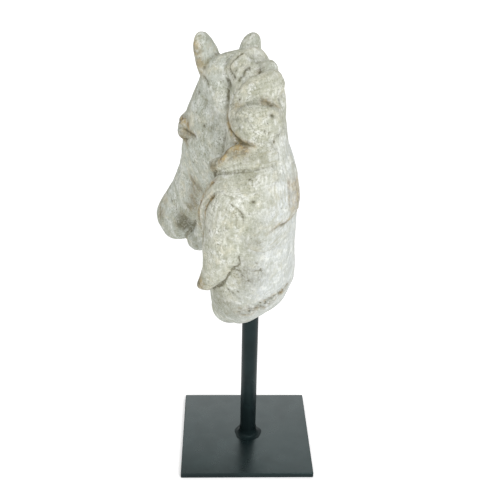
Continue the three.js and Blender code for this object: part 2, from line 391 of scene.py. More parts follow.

# %% [markdown]
# ## The carver's tools
#
# A stroke follows a line over the surface and pushes points in (a cut) or out (a ridge) along their
# normals. A ledge drops the surface on one side of its line only. Strokes can also leave colour:
# stains, painted shade in the creases they cut, and painted highlights along some ridges.

# %% Strokes, ledges and dents
class Clay:
    """The carving's points, with their normals, and its stains, painted shade and painted light, while it is
    being worked.
    """

    def __init__(self, mesh):
        self.mesh = mesh
        self.edges = edges_of(mesh)
        self.colourings = {name: np.zeros(len(mesh.vertices)) for name in ("wear", "grime_and_shade", "pale")}
        self.refresh()

    def refresh(self):
        self.points = points_of(self.mesh)
        self.normals = normals_of(self.mesh)
        self.tree = BVHTree.FromPolygons(
            [tuple(p) for p in self.points], [tuple(f.vertices) for f in self.mesh.polygons])

    def settle(self, rounds=0):
        """Take up the moved points, smoothing them a little if asked."""
        put_points(self.mesh, smooth(self.points, self.edges, rounds) if rounds else self.points)
        self.refresh()

    def snap(self, places):
        return np.array([self.tree.find_nearest(Vector(p))[0] for p in places])

    def line(self, places, step=0.6 * MM):
        """An even row of surface points along a smooth line through the places."""
        rows = np.c_[np.arange(len(places)), places]
        rough = along(rows, np.linspace(0, len(places) - 1, 12 * len(places)))
        length = np.linalg.norm(np.diff(rough, axis=0), axis=1).sum()
        count = max(3, int(length / step))
        return self.snap(along(rows, np.linspace(0, len(places) - 1, count)))

    def near(self, row, reach):
        """The points within reach of a row: their index, distance, nearest place on the row."""
        low, high = row.min(axis=0) - reach, row.max(axis=0) + reach
        index = np.flatnonzero(((self.points > low) & (self.points < high)).all(axis=1))
        gap = np.linalg.norm(self.points[index, None] - row[None], axis=2)
        nearest = gap.argmin(axis=1)
        distance = gap[np.arange(len(index)), nearest]
        keep = distance < reach
        return index[keep], distance[keep], nearest[keep]

    def colouring(self, name, index, amount):
        layer = self.colourings[name]
        layer[index] = np.maximum(layer[index], amount)

    def stroke(self, places, width, depth, colouring=None, ends=0.2, wander=0.0):
        """Cut a groove (or raise a ridge, with a negative depth); width and depth are in mm."""
        row = self.line(places)
        index, distance, nearest = self.near(row, 2.2 * width * MM)
        t = nearest / (len(row) - 1)
        fade = np.clip(np.minimum(t, 1 - t) / ends, 0, 1) ** 0.5 if ends else 1.0
        profile = np.exp(-(distance / (0.5 * width * MM)) ** 2) * fade
        if wander:
            profile *= 1 + wander * np.sin(nearest * 0.37) * np.cos(nearest * 0.11)
        self.points[index] -= self.normals[index] * (profile * depth * MM)[:, None]
        for name, amount, spread in colouring or ():
            self.colouring(name, index, amount * fade * np.exp(-(distance / (spread * MM)) ** 2))

    def ledge(self, places, reach, depth, colouring=None):
        """Sink the side of the line on its right hand, seen from outside."""
        row = self.line(places)
        index, distance, nearest = self.near(row, reach * MM)
        heading = np.gradient(row, axis=0)[nearest]
        offset = self.points[index] - row[nearest]
        side = np.einsum("ij,ij->i", np.cross(heading, self.normals[index]), offset) > 0
        t = nearest / (len(row) - 1)
        fade = np.clip(np.minimum(t / 0.2, (1 - t) / 0.25), 0, 1)
        step = np.clip(distance / (0.8 * MM), 0, 1) * (1 - distance / (reach * MM)) ** 1.5
        self.points[index] -= self.normals[index] * (side * step * fade * depth * MM)[:, None]
        for name, amount, spread in colouring or ():
            self.colouring(name, index, amount * fade * np.exp(-(distance / (spread * MM)) ** 2))

    def dent(self, place, radius, depth, colouring=None):
        """One round hollow, or a lump with a negative depth."""
        row = self.snap([place])
        index, distance, _ = self.near(row, 2 * radius * MM)
        profile = np.exp(-(distance / (0.7 * radius * MM)) ** 2)
        self.points[index] -= self.normals[index] * (profile * depth * MM)[:, None]
        for name, amount, spread in colouring or ():
            self.colouring(name, index, amount * np.exp(-(distance / (spread * MM)) ** 2))

    def smear(self, places, spread, name, amount):
        """A soft mark of one layer round some places, without touching the shape; the layers hold stains,
        painted shade and painted light.
        """
        for place in places:
            index, distance, _ = self.near(self.snap([place]), 2.2 * spread * MM)
            self.colouring(name, index, amount * np.exp(-(distance / (spread * MM)) ** 2))


def neck_places(*rows):
    """Each row: height, angle round the neck, and lift off it."""
    return np.array([on_neck(*row) for row in rows])


def head_places(*rows):
    """Each row: to the horse's left, in front of the long axis, and down the face."""
    return np.array([on_head(*row) for row in rows])


def wobble(points, size, seed=0.0):
    """Smooth noise from -1 to 1 at each point; size is the width of its lumps in mm."""
    shift = Vector((seed, 2.3 * seed, -seed))
    scale = 1 / (size * MM)
    return np.array([noise.noise(Vector(p) * scale + shift) for p in points])


clay = Clay(head.data)
print("ready to carve")

# %% [markdown]
# ## Strands in the locks
#
# Every lock is cut into strands. Each point near a lock gets that lock's own grain: how far along
# the lock it lies and how far to the side, in mm. The strands, and later the streaks in the paint,
# follow this grain.

# %% Give the points the grain of their lock
def grain_of(clay):
    """For each point: mm along and across its lock, and how surely it lies on a lock."""
    tree_rows, marks = [], []
    for number, (thick, path) in enumerate(LOCKS.values()):
        t, aside = np.meshgrid(np.linspace(0.02, 0.98, 90), np.linspace(-0.96, 0.96, 25))
        t, aside = t.ravel(), aside.ravel()
        rows = np.c_[np.arange(len(path)), np.asarray(path, float)]
        wide = along(rows, t * (len(path) - 1))[:, 3] * rounded(t, 0.12, 0.12)
        spot = lock_line(path, t, aside * rounded(t, 0.12, 0.12),
                         thick * 0.6 * np.sqrt(1 - aside**2))
        middle = lock_line(path, np.linspace(0, 1, 60))
        length = np.linalg.norm(np.diff(middle, axis=0), axis=1).sum() / MM
        tree_rows.append(spot)
        marks.append(np.c_[np.full(len(t), number), t * length, aside * wide, t, aside])
    spots, marks = np.concatenate(tree_rows), np.concatenate(marks)
    finder = KDTree(len(spots))
    for i, spot in enumerate(spots):
        finder.insert(spot, i)
    finder.balance()
    found = [finder.find(p)[1:] for p in clay.points]
    index = np.array([f[0] for f in found])
    distance = np.array([f[1] for f in found])
    on_lock = np.clip(1.6 - distance / (1.5 * MM), 0, 1)
    return marks[index], on_lock


grain, on_lock = grain_of(clay)
same_lock = (grain[clay.edges[:, 0], 0] == grain[clay.edges[:, 1], 0])
inner_edges = clay.edges[same_lock]
for _ in range(6):
    grain[:, 1:] += 0.6 * (around(grain[:, 1:], inner_edges) - grain[:, 1:]) * (
        np.bincount(inner_edges.ravel(), minlength=len(grain)) > 2)[:, None]
print(round(float(on_lock.mean()), 2), "of the points lie on a lock")


# %% Cut the strands
# How many mm from one strand to the next, and how deep the cuts are.
STRANDS = {
    "forelock": (5.5, 0.25), "crest": (6.5, 0.5), "upper": (6.0, 0.7), "leaf": (5.0, 0.35),
    "middle": (4.6, 0.7), "ridge": (6.0, 0.3), "band": (4.4, 0.8), "curl": (5.2, 0.7),
    "tail": (9.0, 0.3), "outer": (8.5, 0.45),
}


def strand_cuts(clay, grain, on_lock):
    pitch = np.array([v[0] for v in STRANDS.values()])[grain[:, 0].astype(int)]
    depth = np.array([v[1] for v in STRANDS.values()])[grain[:, 0].astype(int)]
    drift = 1.6 * wobble(clay.points, 18, 3.1)
    phase = (grain[:, 2] + drift) / pitch
    saw = np.abs((phase % 1) - 0.5) * 2
    cut = np.clip(1 - (1 - saw) * 2.4, 0, 1) ** 1.5
    uneven = np.clip(0.65 + 0.9 * wobble(clay.points, 14, 8.4), 0, 1.3)
    return cut * depth * uneven * on_lock * rounded(grain[:, 3].clip(0, 1), 0.15, 0.15)


strand = strand_cuts(clay, grain, on_lock)
clay.points -= clay.normals * (strand * MM)[:, None]
clay.settle()
print("deepest strand cut:", round(float(strand.max()), 2), "mm")

# %% [markdown]
# ## Soft places, then crisp ones
#
# The curl, the tail and the long outer lock flow into one another. Those joins are rubbed smooth
# first; the rims, ledges, cracks and wormholes are cut after that.

# %% Rub the joins between the locks
def rub(clay, places, reach, rounds):
    """Smooth the surface near a line, most strongly on the line itself."""
    row = clay.line(places)
    index, distance, _ = clay.near(row, reach * MM)
    share = np.zeros(len(clay.points))
    share[index] = 1 - (distance / (reach * MM)) ** 2
    points = clay.points
    for _ in range(rounds):
        points = points + 0.5 * share[:, None] * (around(points, clay.edges) - points)
    clay.points = points


rub(clay, neck_places((290, 205, 2), (280, 198, 2), (265, 192, 2), (245, 196, 2)), 12, 60)
rub(clay, neck_places((248, 235, 4), (244, 218, 4), (240, 202, 3)), 10, 50)
rub(clay, neck_places((236, 205, 2), (220, 212, 2), (206, 218, 2)), 8, 40)
rub(clay, neck_places((300, 165, 2), (280, 166, 2), (262, 176, 3), (246, 195, 2)), 11, 60)
rub(clay, neck_places((270, 250, 9), (260, 254, 8), (250, 255, 7), (244, 252, 6)), 7, 60)
rub(clay, neck_places((357, 215, 6), (352, 204, 7), (345, 196, 8)), 9, 40)
rub(clay, neck_places((320, 160, 3), (308, 160, 3)), 8, 30)
rub(clay, neck_places((362, 184, 8), (361, 172, 6), (359, 158, 3), (357, 142, 3)), 8, 70)
rub(clay, neck_places((384, 178, 3), (380, 172, 4), (374, 178, 6)), 8, 40)
rub(clay, neck_places((396, 186, 6), (392, 192, 7), (388, 204, 7), (383, 215, 8), (375, 217, 8)), 15, 150)
rub(clay, neck_places((337, 186, 8), (335, 176, 4), (334, 166, 3), (335, 156, 3)), 6, 50)
clay.settle()

# %% Rims, ledges and creases of the mane
# The grime layer darkens creases, grooves and cracks: partly dirt, partly painted shade where shade falls in
# them.
BROWN_RIM = (("wear", 0.9, 1.6),)
DIRT_AND_SHADE = (("grime_and_shade", 0.8, 1.6),)
FAINT_LINE = (("grime_and_shade", 0.7, 1.3),)
clay.stroke(neck_places((396, 192, 2), (395, 199, 6), (392, 207, 7), (390, 214, 9), (388, 222, 9),
                        (385, 228, 9), (382, 231, 8), (380, 228, 8), (378, 222, 9), (375, 218, 8)),
            1.8, 1.1, FAINT_LINE, 0.1, 0.4)
clay.stroke(neck_places((385, 178, 4), (383, 186, 5), (380, 195, 6), (378, 202, 7), (374, 207, 9),
                        (371, 209, 12), (366, 220, 10), (362, 230, 7), (358, 236, 5)),
            1.9, 1.0, FAINT_LINE, 0.1, 0.4)
clay.stroke(neck_places((384, 166, 1), (382, 168, 3), (380, 170, 5), (377, 171, 8)), 2.0, 1.3,
            (("grime_and_shade", 0.8, 1.6), ("wear", 0.4, 3.0)), 0.2)
clay.stroke(neck_places((379, 249, 9), (374, 253, 10), (370, 254, 7), (366, 257, 4)), 2.4, 0.8,
            (("grime_and_shade", 0.35, 2.0),), 0.3)
clay.stroke(neck_places((364, 257, 0), (358, 262, 0), (353, 260, 0)), 2.2, 0.9, DIRT_AND_SHADE)
clay.stroke(neck_places((363, 180, 7), (362, 170, 5), (360, 157, 3), (358, 146, 3), (356, 137, 3)),
            4.0, 0.7, (("wear", 0.6, 3.2), ("grime_and_shade", 0.1, 1.6)), 0.3)
clay.stroke(neck_places((358, 232, 5), (351, 231, 8), (345, 226, 10), (340, 217, 10), (336, 206, 10),
                        (334, 194, 9), (333, 182, 8)), 2.4, 1.7, (("wear", 1.0, 2.2), ("grime_and_shade", 0.5, 1.2)))
clay.stroke(neck_places((357, 213, 9), (351, 211, 11), (344, 203, 12), (340, 192, 10)), 3.0, 0.8,
            (("grime_and_shade", 0.25, 1.4),))
clay.stroke(neck_places((318, 228, 12), (323, 221, 13), (328, 217, 12), (331, 211, 12), (332, 201, 11),
                        (331, 193, 10)), 3.4, -1.3, (("wear", 1.0, 2.8),), 0.1)
clay.stroke(neck_places((318, 222, 12), (323, 214, 12), (326, 204, 11), (327, 194, 10)), 2.4, 1.0,
            (("wear", 0.45, 2.0),))
clay.stroke(neck_places((322, 228, 11), (317, 233, 10), (312, 238, 9), (304, 243, 7)), 2.2, 1.4, DIRT_AND_SHADE)
clay.smear(neck_places((332, 214, 12), (331, 206, 12), (330, 199, 11), (328, 219, 12)), 5.0, "wear", 1.0)
clay.smear(neck_places((323, 222, 13), (317, 229, 12)), 3.5, "wear", 0.6)
clay.dent(on_neck(310, 240, 12), 5.5, -1.6, (("wear", 0.95, 3.6), ("grime_and_shade", 0.35, 2.5)))
clay.dent(on_neck(304, 245, 8), 3.0, 1.5, (("grime_and_shade", 0.9, 2.2),))
clay.stroke(neck_places((302, 235, 9), (295, 243, 10), (287, 250, 10), (279, 255, 11), (268, 259, 11),
                        (256, 260, 9), (247, 258, 8)), 2.2, 0.7, (("wear", 0.8, 1.7),), 0.1)
clay.stroke(neck_places((292, 239, 9), (285, 243, 9), (279, 250, 10), (271, 255, 10), (264, 257, 10),
                        (256, 258, 9), (248, 256, 8), (240, 250, 7)), 1.8, -0.8,
            (("pale", 0.9, 1.2), ("wear", 0.25, 1.6)), 0.1)
clay.stroke(neck_places((288, 235, 9), (280, 242, 9), (272, 246, 9), (264, 248, 9), (256, 248, 9),
                        (248, 246, 8), (242, 240, 8)), 2.0, 1.1,
            (("wear", 1.0, 1.7), ("grime_and_shade", 0.2, 0.8)), 0.1)
clay.stroke(neck_places((291, 229, 9), (291, 218, 7), (288, 208, 4), (282, 200, 3), (273, 194, 2)),
            2.4, -0.6, (("pale", 0.8, 1.8),))
clay.stroke(neck_places((286, 222, 6), (283, 212, 5), (279, 203, 3), (272, 197, 1), (264, 196, 1)),
            2.2, 0.9, (("grime_and_shade", 0.3, 1.1),), 0.3)
clay.stroke(neck_places((279, 219, 7), (276, 208, 5), (271, 203, 4), (264, 204, 5)), 2.4, 0.8,
            (("grime_and_shade", 0.3, 1.2),), 0.3)
clay.stroke(neck_places((271, 216, 7), (268, 210, 6), (263, 209, 6)), 2.4, 0.5)
clay.settle()

clay.ledge(neck_places((259, 172, 6), (263, 163, 7), (267, 156, 7), (268, 147, 7), (270, 139, 7),
                       (272, 128, 6), (275, 112, 5), (280, 98, 3), (288, 86, 1)), 20, 2.8,
           (("wear", 0.45, 2.2), ("grime_and_shade", 0.35, 0.8)))
clay.stroke(neck_places((306, 136, 6), (298, 137, 7), (288, 138, 7), (277, 140, 7)), 2.2, 0.35,
            (("wear", 0.5, 1.8),))
clay.stroke(neck_places((303, 122, 5), (292, 121, 6), (280, 121, 6), (273, 122, 5)), 5.0, 0.3,
            (("wear", 0.65, 5.5),))
clay.stroke(neck_places((338, 152, 5), (329, 157, 6), (320, 158, 6), (310, 155, 5), (298, 152, 6)),
            3.0, 0.45, (("grime_and_shade", 0.12, 1.4),), 0.4)
clay.stroke(neck_places((179, 250, 3), (187, 236, 2), (194, 224, 1), (204, 217, 0), (213, 211, 0),
                        (222, 202, 0), (229, 190, 0)), 2.2, 1.0, (("grime_and_shade", 0.5, 1.5),), 0.3, 0.5)
clay.stroke(neck_places((193, 220, 0), (190, 214, 0), (187, 206, 0), (183, 199, 0), (177, 192, 0)),
            2.4, 0.5, (("grime_and_shade", 0.3, 2.0),), 0.5, 0.9)
clay.stroke(neck_places((229, 188, 0), (227, 177, 0), (220, 171, 0), (212, 169, 0), (204, 174, 0)),
            1.8, 0.5, (("grime_and_shade", 0.35, 1.5),), 0.3, 0.7)
clay.settle()
print("rims and ledges cut")

# %% The face: eye, nostril, mouth, jaw and ears
def both_sides(rows):
    """The same head places on the left side and on the right side."""
    return [head_places(*[(side * left, front, down) for left, front, down in rows])
            for side in (1, -1)]


def worn(amount, spread):
    return (("wear", amount, spread),)


for places in both_sides([(32, -3, 58), (35, -7, 60), (37, -11, 66), (37, -14, 72)]):
    clay.dent(places[1], 7.0, -1.6)
    clay.dent(places[2], 5.0, -1.6)
    clay.dent(places[1] * 0.5 + places[2] * 0.5, 5.0, -1.3)
    rub(clay, places, 7, 30)
for places in both_sides([(35, -3, 72), (37, -8, 72)]):
    clay.dent(places[0], 6.0, -1.3)
    clay.dent(places[1], 5.0, -0.3)
for places in both_sides([(39, -11, 65), (38, -15, 64), (38, -21, 62), (38, -26, 60), (39, -30, 58),
                          (39, -35, 56)]):
    clay.stroke(places, 3.0, 1.4, (("grime_and_shade", 0.6, 1.9), ("wear", 0.9, 3.4)), 0.45)
for places in both_sides([(29, 8, 76), (32, 4, 71), (35, -1, 67), (37, -6, 65.5), (38, -11, 65)]):
    clay.stroke(places, 2.6, 1.5, (("grime_and_shade", 0.6, 1.6), ("wear", 0.6, 2.4)), 0.5)
for places in both_sides([(29, 8, 76), (32, 3, 79), (35, -3, 80), (37, -9, 79), (38, -15, 77), (38, -20, 73),
                          (38, -24, 67)]):
    clay.stroke(places, 2.8, 1.5, (("grime_and_shade", 0.5, 1.9), ("wear", 0.7, 3.0)), 0.2)
# Each lower lid is raised into a ridge with a pale line along it: a painted highlight.
for places in both_sides([(38, -12, 69), (39, -16, 67.5), (38, -20, 67), (38, -24, 65)]):
    clay.stroke(places, 2.6, -0.8, (("pale", 0.35, 1.0), ("wear", 0.4, 2.0)), 0.35)
for places in both_sides([(36, -9, 61), (36, -12, 59), (37, -17, 57)]):
    clay.smear(places, 5.0, "wear", 0.95)
for places in both_sides([(36, -7, 71), (38, -12, 73), (39, -18, 71), (37, -21, 74)]):
    clay.smear(places, 4.0, "wear", 0.6)
    clay.smear(places, 5.5, "grime_and_shade", 0.45)
for places in both_sides([(31, -17, 92), (27, -15, 106), (24, -16, 120), (22, -19, 139),
                          (22, -25, 148), (21, -31, 155)]):
    clay.stroke(places, 7.0, -1.3, (("pale", 0.5, 3.0),), 0.3)
for places in both_sides([(27, -30, 108), (24, -34, 125), (22, -37, 140), (20, -38, 158)]):
    clay.stroke(places, 9.0, 1.3, (("grime_and_shade", 0.3, 5.0),), 0.3)
# Nostrils: round dents, darkened with grime and painted shade.
for places in both_sides([(19, -36, 170), (17, -38, 174), (18, -36, 179)]):
    clay.dent(places[1], 7.0, 0.8)
    clay.smear(places, 8.0, "grime_and_shade", 1.4)
for places in both_sides([(24, -36, 112), (23, -40, 122), (22, -40, 134), (24, -48, 112),
                          (20, -45, 140), (21, -40, 148)]):
    clay.smear(places, 6.5, "wear", 0.6)
    clay.smear(places, 7.5, "grime_and_shade", 0.4)
for places in both_sides([(16, -4, 176), (14, 2, 186), (18, -8, 190)]):
    clay.smear(places, 6.0, "wear", 0.4)
for places in both_sides([(20, 1, 189), (23, -2, 189), (24, -6, 193), (23, -10, 199)]):
    clay.stroke(places, 3.4, 1.5, (("grime_and_shade", 0.35, 1.8), ("wear", 0.55, 3.0)), 0.3)
clay.stroke(head_places((37, -14, 4), (38, -21, 3), (37, -26, 6)), 2.0, 0.9, DIRT_AND_SHADE)
# The ears' front hollows, darkened with grime and painted shade.
for base, tip in (((20, 1, 6), (38, 7, -17)), ((-20, 2, 8), (-22, 9, -12))):
    middle = [tuple(np.array(base) * (1 - t) + np.array(tip) * t) for t in (0.1, 0.4, 0.7, 1.0)]
    clay.stroke(head_places(*middle), 9.0, 3.0, (("grime_and_shade", 0.45, 4.0),), 0.25)
clay.settle()
print("the face is cut")

# %% Cracks, wormholes and the eroded foot
FAINT = (("grime_and_shade", 0.45, 1.4),)
clay.stroke(neck_places((235, 199, 0), (229, 198, 0), (221, 197, 0)), 1.6, 1.2, FAINT, 0.4)
clay.stroke(neck_places((216, 210, 0), (217, 200, 0), (218, 190, 0), (219, 182, 0)), 1.5, 0.6, FAINT,
            0.4)
clay.stroke(neck_places((226, 181, 0), (220, 177, 0), (212, 178, 0), (204, 180, 0)), 1.8, 0.8, FAINT,
            0.4)
clay.stroke(neck_places((222, 170, 0), (214, 175, 0), (208, 186, 0)), 1.6, 0.6, FAINT, 0.4)
HOLES = [  # height, angle, lift, radius, depth
    (355, 163, 12, 1.9, 3.2), (307, 191, 7, 1.3, 1.6), (286, 186, 0, 1.4, 1.4),
    (364, 207, 11, 1.2, 1.4), (344, 172, 9, 1.1, 1.2), (342, 165, 8, 1.0, 1.1),
    (334, 152, 4, 1.1, 1.2), (381, 216, 6, 1.1, 1.0), (191, 214, 0, 1.3, 1.5),
    (188, 208, 0, 1.3, 1.5), (191, 200, 0, 1.2, 1.3), (160, 181, 0, 1.5, 1.8),
    (163, 172, 0, 1.4, 1.8), (164, 164, 0, 1.6, 2.0), (170, 159, 0, 1.5, 1.6),
    (175, 153, 0, 1.7, 1.9), (178, 148, 0, 1.4, 1.5), (172, 167, 0, 1.2, 1.4),
    (349, 215, 9, 1.0, 0.9), (298, 205, 5, 1.0, 0.9), (262, 214, 5, 1.0, 0.8),
    (255, 232, 6, 1.1, 0.9), (212, 196, 0, 1.6, 1.4), (206, 186, 0, 1.8, 1.6),
]
# Each wormhole is darkened inside with grime and painted shade.
for height, angle, lift, radius, depth in HOLES:
    clay.dent(on_neck(height, angle, lift), radius, depth, (("grime_and_shade", 1.0, 1.1 * radius),))
for left, front, down, radius in ((38, -37, 40, 1.2), (34, -37, 86, 1.2), (21, -14, 166, 1.2),
                                  (34, -14, 23, 1.6), (-37, -20, 92, 1.3), (-30, -30, 118, 1.2)):
    clay.dent(on_head(left, front, down), radius, 1.5, (("grime_and_shade", 1.0, 1.3 * radius),))

# A crusty patch low on the neck; its pits are darkened with grime and painted shade.
patch = clay.snap([on_neck(213, 186, 0)])
index, distance, _ = clay.near(patch, 24 * MM)
share = np.clip(1.5 - distance / (15 * MM), 0, 1)
crust = np.abs(wobble(clay.points[index], 6.5, 4.0)) + 0.7 * np.abs(wobble(clay.points[index], 3, 9.0))
clay.points[index] -= clay.normals[index] * (share * (1.6 - 2.2 * crust) * MM)[:, None]
clay.colouring("grime_and_shade", index, share * np.clip(0.7 - 0.8 * crust, 0.3, 1))
rub(clay, neck_places((218, 186, 0), (208, 186, 0)), 20, 2)

# The eroded foot: its pits are darkened with grime and painted shade, and patches of it are worn brown.
foot = clay.line(neck_places((160, 190, 0), (163, 172, 0), (168, 160, 0), (176, 148, 0), (184, 130, 0)))
index, distance, _ = clay.near(foot, 11 * MM)
share = 1 - distance / (11 * MM)
crust = np.abs(wobble(clay.points[index], 4.0, 14.0)) + 0.6 * np.abs(wobble(clay.points[index], 2, 19.0))
clay.points[index] -= clay.normals[index] * (share * (1.4 - 3.4 * crust) * MM)[:, None]
clay.colouring("grime_and_shade", index, share * np.clip(0.9 - 1.6 * crust, 0, 1))
clay.colouring("wear", index, 0.8 * share * np.clip(0.3 + 1.4 * wobble(clay.points[index], 5, 23), 0, 1))
clay.smear(neck_places((298, 129, 6), (291, 129, 6), (284, 131, 6), (278, 134, 6)), 5.0, "wear", 0.55)
clay.smear(neck_places((311, 242, 13), (310, 238, 12)), 3.2, "grime_and_shade", 0.8)
clay.smear(head_places((45, -2, -19), (44, -4, -14), (41, -8, -8), (38, -10, -3)), 5.0, "wear", 0.6)
clay.smear(head_places((44, -4, -14), (41, -8, -8), (38, -10, -3)), 4.0, "grime_and_shade", 0.3)
clay.smear(neck_places((276, 232, 10), (266, 232, 10), (256, 226, 9)), 11.0, "pale", 0.4)
clay.smear(neck_places((192, 248, 12), (188, 250, 11), (184, 252, 9)), 4.0, "grime_and_shade", 0.9)
clay.smear(neck_places((196, 244, 12), (190, 246, 12), (186, 250, 11)), 5.5, "wear", 0.8)
clay.smear(neck_places((250, 262, 8), (235, 262, 6), (220, 258, 6), (205, 256, 6)), 4.0, "wear", 0.35)
clay.smear(neck_places((252, 178, 7)), 3.2, "grime_and_shade", 0.5)
clay.smear(neck_places((178, 230, 2), (170, 219, 2), (165, 235, 2), (160, 208, 2)), 13.0, "grime_and_shade", 0.45)
clay.smear(neck_places((215, 198, 0), (209, 186, 0), (204, 194, 0)), 10.0, "grime_and_shade", 0.4)
clay.smear(neck_places((325, 202, 10), (323, 186, 8), (321, 172, 7), (312, 190, 8)), 8.0, "grime_and_shade", 0.28)
# A pale smear on the cheek beside the mane: painted light, brightening the shade there.
clay.smear(head_places((33, -40, 4), (34, -45, 15), (33, -52, 26), (34, -57, 39), (36, -59, 50)), 7.0,
           "pale", 0.45)
clay.smear(neck_places((362, 225, 6), (358, 212, 8), (345, 222, 9), (339, 214, 10)), 4.0, "wear", 0.45)
clay.smear(head_places((41, -4, -8), (41, -7, -1), (38, -12, 3), (43, -4, -16)), 4.5, "wear", 0.55)
clay.smear(head_places((36, -30, 22), (37, -42, 24), (34, -46, 34)), 6.0, "grime_and_shade", 0.4)
clay.smear(head_places((8, -50, 196), (10, -56, 190), (4, -52, 204)), 9.0, "grime_and_shade", 0.35)
clay.smear(head_places((22, -12, 200), (14, 2, 205), (10, -8, 216), (20, -24, 208)), 10.0, "grime_and_shade", 0.25)
print(len(HOLES), "wormholes")

# %% Knife marks and weathering all over
rough = (0.55 * wobble(clay.points, 26, 1.0) + 0.42 * wobble(clay.points, 11, 2.0)
         + 0.22 * wobble(clay.points, 5, 3.0) + 0.1 * wobble(clay.points, 2.8, 5.0))
clay.points += clay.normals * (rough * MM)[:, None]
clay.settle()

# The post's hole stays clear.
POST_X, POST_Y, POST_TOP, HOLE = 2 * MM, -1 * MM, 172.2 * MM, 8.3 * MM
from_post = clay.points[:, :2] - (POST_X, POST_Y)
gap = np.linalg.norm(from_post, axis=1)
tight = (gap < HOLE) & (clay.points[:, 2] < POST_TOP)
clay.points[tight, :2] = (POST_X, POST_Y) + from_post[tight] / gap[tight, None] * HOLE
clay.settle()
print("weathered;", int(tight.sum()), "points kept off the post")

# %% [markdown]
# ## Stains, painted shade and light, and hollows, point by point
#
# Whitewash wears off where hands and tides rub. The hollows are darkened later, partly as dirt and
# partly as painted shade. The strokes have left their stains and painted shade already. The hollows
# are found by comparing the surface with a smoothed copy of it.

# %% Store the stains, painted shade and light, the hollows and the grain on the carving
def soften(values, edges, rounds):
    for _ in range(rounds):
        values = values + 0.5 * (around(values[:, None], edges)[:, 0] - values)
    return values


def sunk_below(clay, rounds):
    """How many mm each point lies below its smoothed surroundings."""
    points = clay.points
    for _ in range(rounds):
        points = points + 0.5 * (around(points, clay.edges) - points)
    return np.einsum("ij,ij->i", points - clay.points, clay.normals) / MM


def lift_off_neck(points):
    """About how many mm each point stands off the plain neck under the locks."""
    x, y, z = (points / MM).T
    middle_x, middle_y, wide, deep = along(NECK, z).T
    return (np.hypot((x - middle_x) / wide, (y - middle_y) / deep) - 1) * (wide + deep) / 2


def store(mesh, name, values):
    kind = "FLOAT" if values.ndim == 1 else "FLOAT_VECTOR"
    layer = mesh.attributes.new(name, kind, "POINT")
    layer.data.foreach_set("value" if kind == "FLOAT" else "vector", values.ravel())


clay.colourings["wear"] *= np.clip(0.9 + 0.7 * wobble(clay.points, 6, 12.0), 0.2, 1.2)
# The hollow layer, at a fine and a broad scale, later darkens the paint: partly dirt, partly painted shade
# standing in for the shade that falls in hollows.
hollow = np.clip(sunk_below(clay, 6) / 0.22, -1, 1) * 0.6 + np.clip(sunk_below(clay, 60) / 1.6, -1, 1)
face_tone_and_lobe_shade = soften(np.clip(lift_off_neck(clay.points) / 8, 0, 1) * (1 - on_lock), clay.edges, 30)
x, y, z = (clay.points / MM).T
# The neck is painted whiter towards its right side and low down: a cooler tone, and on the right side partly
# painted light, where the lamps' light falls.
white_and_lit_side = np.clip((x + 0.2 * (300 - z)) / 24, 0, 1) * np.clip((360 - z) / 25, 0, 1)
# The lobe at the foot of the neck gets the face's greyer green: painted shade, where it lies in shadow.
lobe = np.exp(-(np.linalg.norm(clay.points / MM - (-22, -8, 158), axis=1) / 26) ** 2)
face_tone_and_lobe_shade = np.clip(face_tone_and_lobe_shade + 1.2 * lobe * (z < 182), 0, 1)
store(head.data, "white_and_lit_side", soften(white_and_lit_side, clay.edges, 40))
for name, values in clay.colourings.items():
    store(head.data, name, soften(values, clay.edges, 1))
store(head.data, "hollow", hollow)
store(head.data, "face_tone_and_lobe_shade", face_tone_and_lobe_shade)
store(head.data, "on_lock", soften(on_lock, clay.edges, 4))
store(head.data, "grain", np.c_[grain[:, 1], grain[:, 2], 7.0 * grain[:, 0]])
print("stored", len(head.data.attributes), "layers; hollows to", round(float(hollow.max()), 2))

# %% Thin out the flat areas, and keep the carving inside its CAD box
MOST_TRIANGLES = 190_000


def triangles_of(mesh):
    mesh.calc_loop_triangles()
    return len(mesh.loop_triangles)


before = triangles_of(head.data)
apply_modifier(head, "DECIMATE", ratio=MOST_TRIANGLES / before)
low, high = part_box("horse_head")
put_points(head.data, np.clip(points_of(head.data), low, high))
print("triangles:", before, "thinned to", triangles_of(head.data))

# %% [markdown]
# ## Whitewashed driftwood
#
# The paint is built up in layers: a chalky grey-green ground, whiter on the neck's right side
# (partly painted light), cream patches, fine speckle, streaks along the strands, dirt and painted
# shade in the hollows and bare brown wood where the whitewash has worn through.

# %% A small kit for node materials
def srgb(red, green, blue):
    """A colour given the usual way, 0 to 255, as the light values a shader wants."""
    parts = [v / 255 for v in (red, green, blue)]
    return (*[v / 12.92 if v <= 0.04045 else ((v + 0.055) / 1.055) ** 2.4 for v in parts], 1)


